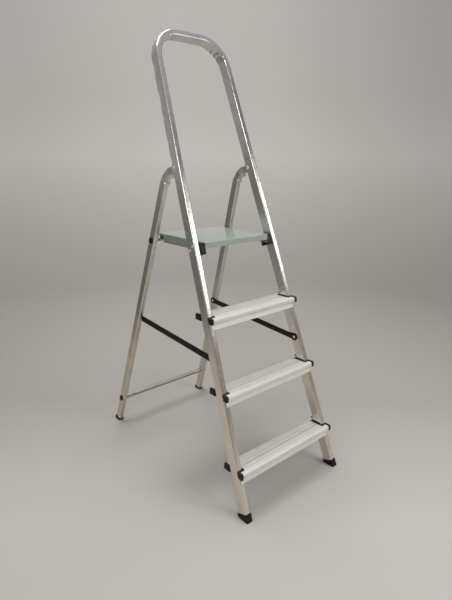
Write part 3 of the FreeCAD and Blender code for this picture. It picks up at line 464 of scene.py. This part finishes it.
def tread_outline():
    """The tread's section in (y, z), from the line where the rails' front faces meet its top."""
    slope = math.tan(FRONT_LEAN)
    tail = RAIL_DEPTH / math.cos(FRONT_LEAN) + TREAD_TAIL
    sheet = TREAD_SHEET
    nose = -TREAD_NOSE
    points = arc((tail - TAIL_ROUND, -TAIL_ROUND), TAIL_ROUND, 0, 90, 4)
    at = tail - PLAIN_BAND
    first = nose + NOSE_ROUND + PLAIN_BAND / 2
    while at > first:
        broad = any(abs(at - RIB_PITCH / 2 - groove) < RIB_PITCH / 2 for groove in GROOVES)
        floor = -BROAD_DEPTH * RIB_RISE if broad else -RIB_RISE
        for share, depth in ((0.12, 0), (0.3, floor), (0.7, floor), (0.88, 0)):
            points.append(Vector((at - share * RIB_PITCH, depth)))
        at -= RIB_PITCH
    points += arc((nose + NOSE_ROUND, -NOSE_ROUND), NOSE_ROUND, 90, 180, 8)
    points += arc((nose + NOSE_ROUND, NOSE_ROUND - NOSE_HEIGHT), NOSE_ROUND, 180, 270, 6)
    out = sheet / math.cos(FRONT_LEAN)  # the flange's thickness, measured along y
    points.append(Vector((-NOSE_HEIGHT * slope - out, -NOSE_HEIGHT)))
    points.append(Vector((-FLANGE_DROP * slope - out, -FLANGE_DROP)))
    points.append(Vector((-FLANGE_DROP * slope, -FLANGE_DROP)))
    web = sheet - NOSE_HEIGHT
    points.append(Vector((web * slope, web)))
    inner = NOSE_ROUND - sheet
    points += arc((nose + NOSE_ROUND, NOSE_ROUND - NOSE_HEIGHT), inner, 270, 180, 5)
    points += arc((nose + NOSE_ROUND, -NOSE_ROUND), inner, 180, 90, 5)
    points.append(Vector((tail - sheet, -sheet)))
    points.append(Vector((tail - sheet, -TAIL_HEIGHT)))
    points.append(Vector((tail, -TAIL_HEIGHT)))
    return points


def make_tread(name, material):
    """The outline drawn across the ladder, cut back behind the rails and clear of the caps' ends."""
    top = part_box(f"tread_{name}")[1].z
    front = -BASE_DEPTH / 2 + top * math.tan(FRONT_LEAN)
    outline = tread_outline()
    reach = BASE_WIDTH / 2
    vertices = [(x, front + y, top + z) for x in (-reach, reach) for y, z in outline]
    count = len(outline)
    faces = [(i, (i + 1) % count, count + (i + 1) % count, count + i) for i in range(count)]
    faces += [tuple(range(count - 1, -1, -1)), tuple(range(count, 2 * count))]
    mesh = bpy.data.meshes.new(f"tread_deck_{name}")
    mesh.from_pydata(vertices, [], faces)
    piece = new_piece(f"tread_deck_{name}", mesh)
    cutters = []
    for side in SIDES:
        place = rail_frame if side == "right" else MIRROR @ rail_frame
        notch = RAIL_WIDTH + CAP_LINER
        above_flange = (top - NOSE_HEIGHT) / math.cos(FRONT_LEAN)  # the flange itself runs on over the rail
        cutters.append(block(place, (-notch, above_flange, -RAIL_DEPTH - CAP_LINER), (BEYOND, BEYOND, CAP_LINER)))
        cutters.append(block(place, (-CAP_END, 0, -BEYOND), (BEYOND, BEYOND, BEYOND)))
    carve(piece, cutters)
    shade(piece.data)
    dress(piece, material, "front_frame", "tread_aluminium", f"tread_{name}")


# Materials


class Nodes:
    """A node material under construction around one Principled shader."""

    def __init__(self, name, **uniform):
        self.material = bpy.data.materials.new(name)
        self.material.use_nodes = True
        self.tree = self.material.node_tree
        self.shader = self.tree.nodes["Principled BSDF"]
        for socket, value in uniform.items():
            self.shader.inputs[socket.replace("_", " ").title().replace("Ior", "IOR")].default_value = value

    def add(self, kind, **inputs):
        node = self.tree.nodes.new(kind)
        for socket, value in inputs.items():
            self.feed(node.inputs[socket.replace("_", " ").title()], value)
        return node

    def feed(self, socket, value):
        if isinstance(value, bpy.types.NodeSocket):
            self.tree.links.new(value, socket)
        else:
            socket.default_value = value

    def place(self, attribute=None, scale=(1, 1, 1)):
        """Coordinates from a mesh attribute, or the object's own, stretched."""
        if attribute:
            source = self.add("ShaderNodeAttribute")
            source.attribute_name = attribute
            vector = source.outputs["Vector"]
        else:
            vector = self.add("ShaderNodeTexCoord").outputs["Object"]
        return self.add("ShaderNodeMapping", vector=vector, scale=scale).outputs["Vector"]

    def noise(self, vector, scale, detail=3.0, roughness=0.5):
        node = self.add("ShaderNodeTexNoise", vector=vector, scale=scale, detail=detail, roughness=roughness)
        return node.outputs["Fac"]

    def span(self, value, start, end, low=0.0, high=1.0):
        """A value from start..end carried to low..high, and held there outside."""
        node = self.add("ShaderNodeMapRange")
        for socket, given in zip(node.inputs[:5], (value, start, end, low, high)):
            self.feed(socket, given)
        return node.outputs["Result"]

    def combine(self, operation, a, b):
        node = self.add("ShaderNodeMath")
        node.operation = operation
        self.feed(node.inputs[0], a)
        self.feed(node.inputs[1], b)
        return node.outputs["Value"]

    def blend(self, share, a, b):
        """Colour a at share 0 and colour b at share 1."""
        node = self.tree.nodes.new("ShaderNodeMix")
        node.data_type = "RGBA"
        sockets = {socket.identifier: socket for socket in node.inputs}
        self.feed(sockets["Factor_Float"], share)
        for key, colour in (("A_Color", a), ("B_Color", b)):
            self.feed(sockets[key], colour if isinstance(colour, bpy.types.NodeSocket) else (*colour, 1))
        return next(out for out in node.outputs if out.identifier == "Result_Color")

    def bump(self, height, distance, strength=1.0, normal=None):
        node = self.add("ShaderNodeBump", height=height, distance=distance, strength=strength)
        if normal:
            self.feed(node.inputs["Normal"], normal)
        return node.outputs["Normal"]

    def finish(self, colour, roughness, normal):
        self.feed(self.shader.inputs["Base Color"], colour)
        self.feed(self.shader.inputs["Roughness"], roughness)
        self.feed(self.shader.inputs["Normal"], normal)
        return self.material


# Colour of the painted shade in the treads' broad grooves
GROOVE_SHADE_COLOUR = (0.16, 0.15, 0.135)
GROOVE_WIDTH = 0.0016


def painted_groove_shade(made):
    """Painted shade in the treads' broad grooves: thin dark lines at set distances behind the rails' front faces."""
    spot = made.add("ShaderNodeSeparateXYZ", vector=made.place()).outputs
    behind = made.combine("MULTIPLY", spot["Z"], -math.tan(FRONT_LEAN))
    behind = made.combine("ADD", made.combine("ADD", spot["Y"], behind), BASE_DEPTH / 2)
    groove_shade = 0.0
    for groove in GROOVES:
        away = made.combine("ABSOLUTE", made.combine("SUBTRACT", behind, groove), 0.0)
        groove_shade = made.combine("ADD", groove_shade, made.span(away, GROOVE_WIDTH / 4, GROOVE_WIDTH, 0.6, 0.0))
    return groove_shade


def drawn_metal(
    name, colour, stain, gloss, grain, attribute=None, floor_reflection_tint=(1, 1, 1), depth=0.7, metallic=1.0, shaded_grooves=False
):
    """Mill-finished aluminium: fine drawing lines along the grain, handling marks, dull stains, and a painted
    reflection of the warm floor as a tint low down.
    """
    made = Nodes(name, metallic=metallic)
    lines = made.noise(made.place(attribute, grain), 1.0, 4.0)
    fine = made.noise(made.place(attribute, [3 * value for value in grain]), 1.0, 2.0)
    smudge = made.noise(made.place(attribute), 14.0, 5.0, 0.6)
    specks = made.noise(made.place(attribute), 95.0, 3.0)
    dull = made.span(smudge, 0.45, 0.72)
    spotted = made.combine("MULTIPLY", made.span(specks, 0.62, 0.74), 0.5)
    worn = made.combine("MAXIMUM", dull, spotted)
    # Painted reflection of the floor: below 0.8 m the colours are tinted warm, fully so below 0.45 m
    level = made.add("ShaderNodeSeparateXYZ", vector=made.place()).outputs["Z"]
    low = made.span(level, 0.45, 0.8, 1.0, 0.0)
    floor_reflected = made.blend(low, colour, [a * b for a, b in zip(colour, floor_reflection_tint)])
    stain_with_reflection = made.blend(low, stain, [a * b for a, b in zip(stain, floor_reflection_tint)])
    tone = made.blend(made.combine("MULTIPLY", worn, depth), floor_reflected, stain_with_reflection)
    # Painted shade: dark lines along the treads' broad grooves
    if shaded_grooves:
        tone = made.blend(painted_groove_shade(made), tone, GROOVE_SHADE_COLOUR)
    streak = made.span(lines, 0.3, 0.7, gloss, gloss + 0.1)
    rough = made.combine("ADD", streak, made.combine("MULTIPLY", worn, 0.1))
    wavy = made.bump(made.noise(made.place(attribute), 30.0, 1.0), 0.0004)
    drawn = made.bump(fine, 0.00006, 0.5, wavy)
    return made.finish(tone, rough, drawn)


def painted_metal(name, colour, dusty):
    """Glossy powder coat with a faint orange peel, dull scuffs and fine scratches."""
    made = Nodes(name, metallic=0.0, specular_ior_level=0.35, coat_weight=0.3, coat_roughness=0.05)
    scuff = made.span(made.noise(made.place(), 9.0, 6.0, 0.62), 0.5, 0.72)
    scratch = made.span(made.noise(made.place(scale=(16, 420, 420)), 1.0, 3.0), 0.68, 0.74)
    worn = made.combine("MAXIMUM", made.combine("MULTIPLY", scuff, 0.3), made.combine("MULTIPLY", scratch, 0.5))
    rough = made.span(worn, 0.0, 1.0, 0.17, 0.36)
    peel = made.bump(made.noise(made.place(), 520.0, 2.0), 0.00005, 0.6)
    cut = made.bump(scratch, 0.00004, 0.4, peel)
    return made.finish(made.blend(worn, colour, dusty), rough, cut)


def moulded_plastic(name, colour, dusty, gloss, grit):
    """Black plastic with a fine moulded grain, handling dust and scuffed spots."""
    made = Nodes(name, metallic=0.0, specular_ior_level=0.2)
    dust = made.span(made.noise(made.place(), 38.0, 5.0, 0.6), 0.48, 0.78)
    grain = made.noise(made.place(), grit, 2.0)
    scuff = made.span(made.noise(made.place(scale=(1, 1, 5)), 120.0, 4.0), 0.6, 0.75)
    worn = made.combine("MAXIMUM", made.combine("MULTIPLY", dust, 0.5), made.combine("MULTIPLY", scuff, 0.7))
    rough = made.span(worn, 0.0, 1.0, gloss, gloss + 0.2)
    return made.finish(made.blend(worn, colour, dusty), rough, made.bump(grain, 0.00012, 0.5))


def bright_metal(name, colour):
    """Turned and pressed fasteners: bright, with faint rings of wear."""
    made = Nodes(name, metallic=0.6)
    marks = made.noise(made.place(), 260.0, 4.0)
    tone = made.blend(made.span(marks, 0.5, 0.75), colour, [0.7 * value for value in colour])
    return made.finish(tone, made.span(marks, 0.3, 0.7, 0.2, 0.38), made.bump(marks, 0.00005, 0.5))


# Dressing the object

ALONG_TUBE = (900, 4, 900)  # the drawing lines' stretch, in the tube's own directions
ALONG_TREAD, ALONG_BAR = (5, 700, 700), (6, 700, 700)
# Painted reflection of the floor: the warm tints for the rails' and legs' lower parts
RAIL_FLOOR_REFLECTION, LEG_FLOOR_REFLECTION = (1.0, 0.93, 0.86), (1.0, 0.95, 0.89)

tube_metal = drawn_metal(
    "tube_metal", (0.80, 0.795, 0.78), (0.62, 0.60, 0.57), 0.17, ALONG_TUBE, "grain", RAIL_FLOOR_REFLECTION, 0.5
)
leg_metal = drawn_metal(
    "leg_metal", (0.70, 0.69, 0.65), (0.52, 0.49, 0.45), 0.2, ALONG_TUBE, "grain", LEG_FLOOR_REFLECTION, 0.6
)
tread_metal = drawn_metal(
    "tread_metal", (0.74, 0.73, 0.70), (0.64, 0.625, 0.59), 0.46, ALONG_TREAD, depth=0.5, metallic=0.6, shaded_grooves=True
)
bar_metal = drawn_metal("bar_metal", (0.42, 0.41, 0.39), (0.33, 0.315, 0.29), 0.3, ALONG_BAR)
platform_paint = painted_metal("platform_paint", (0.25, 0.29, 0.258), (0.30, 0.335, 0.305))
black_plastic = moulded_plastic("black_plastic", (0.013, 0.012, 0.011), (0.036, 0.032, 0.028), 0.38, 900.0)
foot_rubber = moulded_plastic("foot_rubber", (0.007, 0.0065, 0.006), (0.03, 0.028, 0.025), 0.5, 700.0)
strap_plastic = moulded_plastic("strap_plastic", (0.012, 0.008, 0.006), (0.03, 0.024, 0.019), 0.45, 600.0)
rivet_metal = bright_metal("rivet_metal", (0.86, 0.86, 0.85))

MOULDED = (  # stem of the name, material, body, record slot, width of the rounded edges
    *((f"tread_cap_{tread}", black_plastic, "front_frame", "black_plastic", 0.0009) for tread in TREADS),
    ("front_foot", foot_rubber, "front_frame", "foot_rubber", 0.0008),
    ("rear_foot", foot_rubber, "rear_frame", "foot_rubber", 0.0007),
    ("crossbar_cap", black_plastic, "rear_frame", "black_plastic", 0.0008),
    ("rest_rod_cap", black_plastic, "rear_frame", "black_plastic", 0.0008),
    ("platform_hook", black_plastic, "platform", "black_plastic", 0.0008),
    ("platform_bracket", black_plastic, "front_frame", "black_plastic", 0.0012),
)
PAN_EDGE = 0.0005  # width of the rounded edges of the platform's sheet
RIVETED = (
    "tread_rivets bracket_rivets strap_rivets_front strap_rivets_rear hook_rivets pivot_rivet_right "
    "pivot_rivet_left pivot_washers platform_hinge_pin_right platform_hinge_pin_left"
)
BARS = "lower_crossbar platform_rest_rod"


def make_moulded():
    """Feet, caps, hooks and brackets: the CAD's shapes with softened edges."""
    for stem, material, body, slot, width in MOULDED:
        for side in SIDES:
            node = f"{stem}_{side}"
            dress(softened(f"{stem}_skin_{side}", node, width), material, body, slot, node)


def make_platform():
    """The folded sheet-metal deck."""
    deck = softened("platform_deck", "platform_pan", PAN_EDGE)
    dress(deck, platform_paint, "platform", "platform_paint", "platform_pan")


def dress_kept(names, material):
    """Material for nodes that keep the CAD's shape."""
    for node in names.split():
        nodes[node].data.materials.clear()
        nodes[node].data.materials.append(material)


make_front_tube(tube_metal)
make_legs(leg_metal)
for tread in TREADS:
    make_tread(tread, tread_metal)
make_moulded()
make_platform()
dress_kept(RIVETED, rivet_metal)
dress_kept(BARS, bar_metal)

# Straps: each a band from the rail to the leg, sliced across

STRAP_SLICES = 40
STRAP_EDGE = 0.0007


def middle(node, positive):
    """The centre of a node's part on one side of the ladder."""
    corners = [v.co for v in nodes[node].data.vertices if (v.co.x > 0) == positive]
    low = Vector([min(c[i] for c in corners) for i in range(3)])
    high = Vector([max(c[i] for c in corners) for i in range(3)])
    return (low + high) / 2


def make_strap(side):
    """A band sliced across from rivet to rivet."""
    strap = softened(f"strap_band_{side}", f"safety_strap_{side}", STRAP_EDGE)
    start = middle("strap_rivets_front", side == "right")
    end = middle("strap_rivets_rear", side == "right")
    work = bmesh.new()
    work.from_mesh(strap.data)
    for step in range(1, STRAP_SLICES):
        bmesh.ops.bisect_plane(
            work,
            geom=work.verts[:] + work.edges[:] + work.faces[:],
            plane_co=start.lerp(end, step / STRAP_SLICES),
            plane_no=end - start,
        )
    work.to_mesh(strap.data)
    work.free()
    shade(strap.data)
    strap.data.materials.append(strap_plastic)
    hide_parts(f"safety_strap_{side}")
    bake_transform(strap)


for side in SIDES:
    make_strap(side)

# Studio: a pale floor that curves up into a wall all round, out of the other views' way

FLOOR_RADIUS, WALL_RADIUS, WALL_HEIGHT = 2.6, 4.4, 4.6
CURVE_STEPS, AROUND = 16, 96
CAMERA_RIGHT, CAMERA_AHEAD = (0.75, -0.66), (0.66, 0.75)  # on the floor, in (x, y)
CARD_WIDTH, CARD_HEIGHT = 2.6, 1.0
WARM_WHITE, NEAR_WHITE = (1.0, 0.985, 0.96), (1.0, 0.99, 0.97)
SKY_COLOUR, SKY_STRENGTH = (0.95, 0.97, 1.0, 1), 0.42


def studio_paper():
    """Pale grey paper, with painted shade just behind the ladder, painted light up the wall, and painted shade again
    high up and at the sides.
    """
    paper = Nodes("studio_paper", metallic=0.0, specular_ior_level=0.2)
    spot = paper.add("ShaderNodeSeparateXYZ", vector=paper.place()).outputs
    across, deep = (
        paper.combine(
            "ADD", paper.combine("MULTIPLY", spot["X"], along_x), paper.combine("MULTIPLY", spot["Y"], along_y)
        )
        for along_x, along_y in (CAMERA_RIGHT, CAMERA_AHEAD)
    )
    mottle = paper.noise(paper.place(), 1.5, 2.0)
    colour = paper.blend(mottle, (0.385, 0.372, 0.354), (0.405, 0.392, 0.373))
    # Painted shade on the floor behind the ladder
    colour = paper.blend(paper.span(deep, -0.45, 0.3), colour, (0.30, 0.287, 0.272))
    # Painted light up the wall, then painted shade higher up
    colour = paper.blend(paper.span(spot["Z"], 0.0, 1.1), colour, (0.475, 0.467, 0.45))
    colour = paper.blend(paper.span(spot["Z"], 1.1, 2.4), colour, (0.43, 0.422, 0.41))
    # Painted shade towards the sides, as seen from the camera
    edge = paper.span(paper.combine("ABSOLUTE", across, 0.0), 0.6, 2.2, 0.0, 0.17)
    colour = paper.blend(edge, colour, (0, 0, 0))
    return paper.finish(colour, 0.85, paper.bump(paper.noise(paper.place(), 240.0, 2.0), 0.0004, 0.3))


def make_studio():
    """One bowl of paper: a flat floor, a curve and a wall, its faces towards the ladder."""
    rise = WALL_RADIUS - FLOOR_RADIUS
    curve = [math.radians(90) * step / CURVE_STEPS for step in range(CURVE_STEPS + 1)]
    profile = [(FLOOR_RADIUS + rise * math.sin(a), rise * (1 - math.cos(a))) for a in curve]
    profile.append((WALL_RADIUS, WALL_HEIGHT))
    work = bmesh.new()
    rings = []
    for radius, height in profile:
        angles = (2 * math.pi * step / AROUND for step in range(AROUND))
        rings.append([work.verts.new((radius * math.cos(a), radius * math.sin(a), height)) for a in angles])
    work.faces.new(rings[0])
    for lower, upper in zip(rings, rings[1:]):
        for i in range(AROUND):
            after = (i + 1) % AROUND
            work.faces.new((lower[i], upper[i], upper[after], lower[after]))
    for face in work.faces:
        face.smooth = True
    mesh = bpy.data.meshes.new("studio")
    work.to_mesh(mesh)
    work.free()
    new_piece("studio", mesh, studio_paper())


def area_light(name, position, target, width, height, power, colour):
    """A rectangular lamp facing a target, unseen by the camera."""
    data = bpy.data.lights.new(name, "AREA")
    data.shape = "RECTANGLE"
    data.size, data.size_y = width, height
    data.energy = power
    data.color = colour
    lamp = bpy.data.objects.new(name, data)
    bpy.context.scene.collection.objects.link(lamp)
    lamp.location = position
    lamp.rotation_mode = "QUATERNION"
    lamp.rotation_quaternion = (Vector(target) - Vector(position)).to_track_quat("-Z", "Y")
    lamp.visible_camera = False
    return lamp


def dark_card(place, width, height):
    """A dark panel that only reflections see, as the unlit side of a room."""
    work = bmesh.new()
    bmesh.ops.create_grid(work, x_segments=1, y_segments=1, size=0.5)
    bmesh.ops.scale(work, vec=(width, height, 1), verts=work.verts)
    mesh = bpy.data.meshes.new("dark_card")
    work.to_mesh(mesh)
    work.free()
    cloth = Nodes("dark_cloth", metallic=0.0, specular_ior_level=0.0)
    weave = cloth.noise(cloth.place(), 60.0)
    cloth.finish(cloth.blend(weave, (0.17, 0.165, 0.15), (0.20, 0.19, 0.175)), 0.9, cloth.bump(weave, 0.0005))
    card = new_piece("dark_card", mesh, cloth.material)
    card.matrix_world = place
    card.visible_camera = False
    card.visible_diffuse = False
    card.visible_shadow = False


def light_the_studio():
    """Overhead light, a key strip for the rails' front faces, lamps on the camera's side, and a lit wall."""
    area_light("overhead", (-0.2, 0.8, 3.9), (0.0, 0.6, 0), 2.4, 2.4, 92, WARM_WHITE)
    area_light("key_strip", (2.0, -2.4, 1.95), (0, -0.2, 0.75), 1.6, 0.8, 14, NEAR_WHITE)
    area_light("above_camera", (-2.0, -1.9, 2.5), (0, 0, 0.9), 0.9, 0.9, 24, NEAR_WHITE)
    front_fill = area_light("front_fill", (0.9, -3.1, 1.9), (0, -0.1, 0.8), 1.8, 1.2, 66, NEAR_WHITE)
    front_fill.visible_glossy = False
    area_light("wall_wash", (0.3, 1.3, 4.1), (2.7, 3.4, 1.6), 2.0, 1.0, 70, WARM_WHITE)
    world = bpy.data.worlds.new("studio_air")
    world.use_nodes = True
    background = world.node_tree.nodes["Background"].inputs
    background["Color"].default_value = SKY_COLOUR
    background["Strength"].default_value = SKY_STRENGTH
    bpy.context.scene.world = world


make_studio()
dark_card(shift(-1.5, 1.25, 0.5) @ turn(math.radians(-138), "Z") @ turn(math.pi / 2, "X"), CARD_WIDTH, CARD_HEIGHT)
light_the_studio()

# Camera: standing to the left of the ladder, looking a little down at it

CAMERA_PLACE = (-1.0587, -1.2605, 1.076)
CAMERA_YAW, CAMERA_PITCH, CAMERA_ROLL = map(math.radians, (41.189, -16.731, 0.288))
SENSOR_HEIGHT, LENS = 36, 28.23  # in millimetres


def make_camera():
    """The view of the reference: yaw clockwise from +Y, then pitch, then roll."""
    camera = bpy.data.objects.new("camera", bpy.data.cameras.new("camera"))
    camera.data.sensor_fit = "VERTICAL"
    camera.data.sensor_height = SENSOR_HEIGHT
    camera.data.lens = LENS
    upright = turn(-CAMERA_YAW, "Z") @ turn(math.pi / 2 + CAMERA_PITCH, "X") @ turn(CAMERA_ROLL, "Z")
    camera.matrix_world = shift(*CAMERA_PLACE) @ upright
    bpy.context.scene.collection.objects.link(camera)
    bpy.context.scene.camera = camera
    bpy.context.scene.view_settings.view_transform = "Standard"


make_camera()
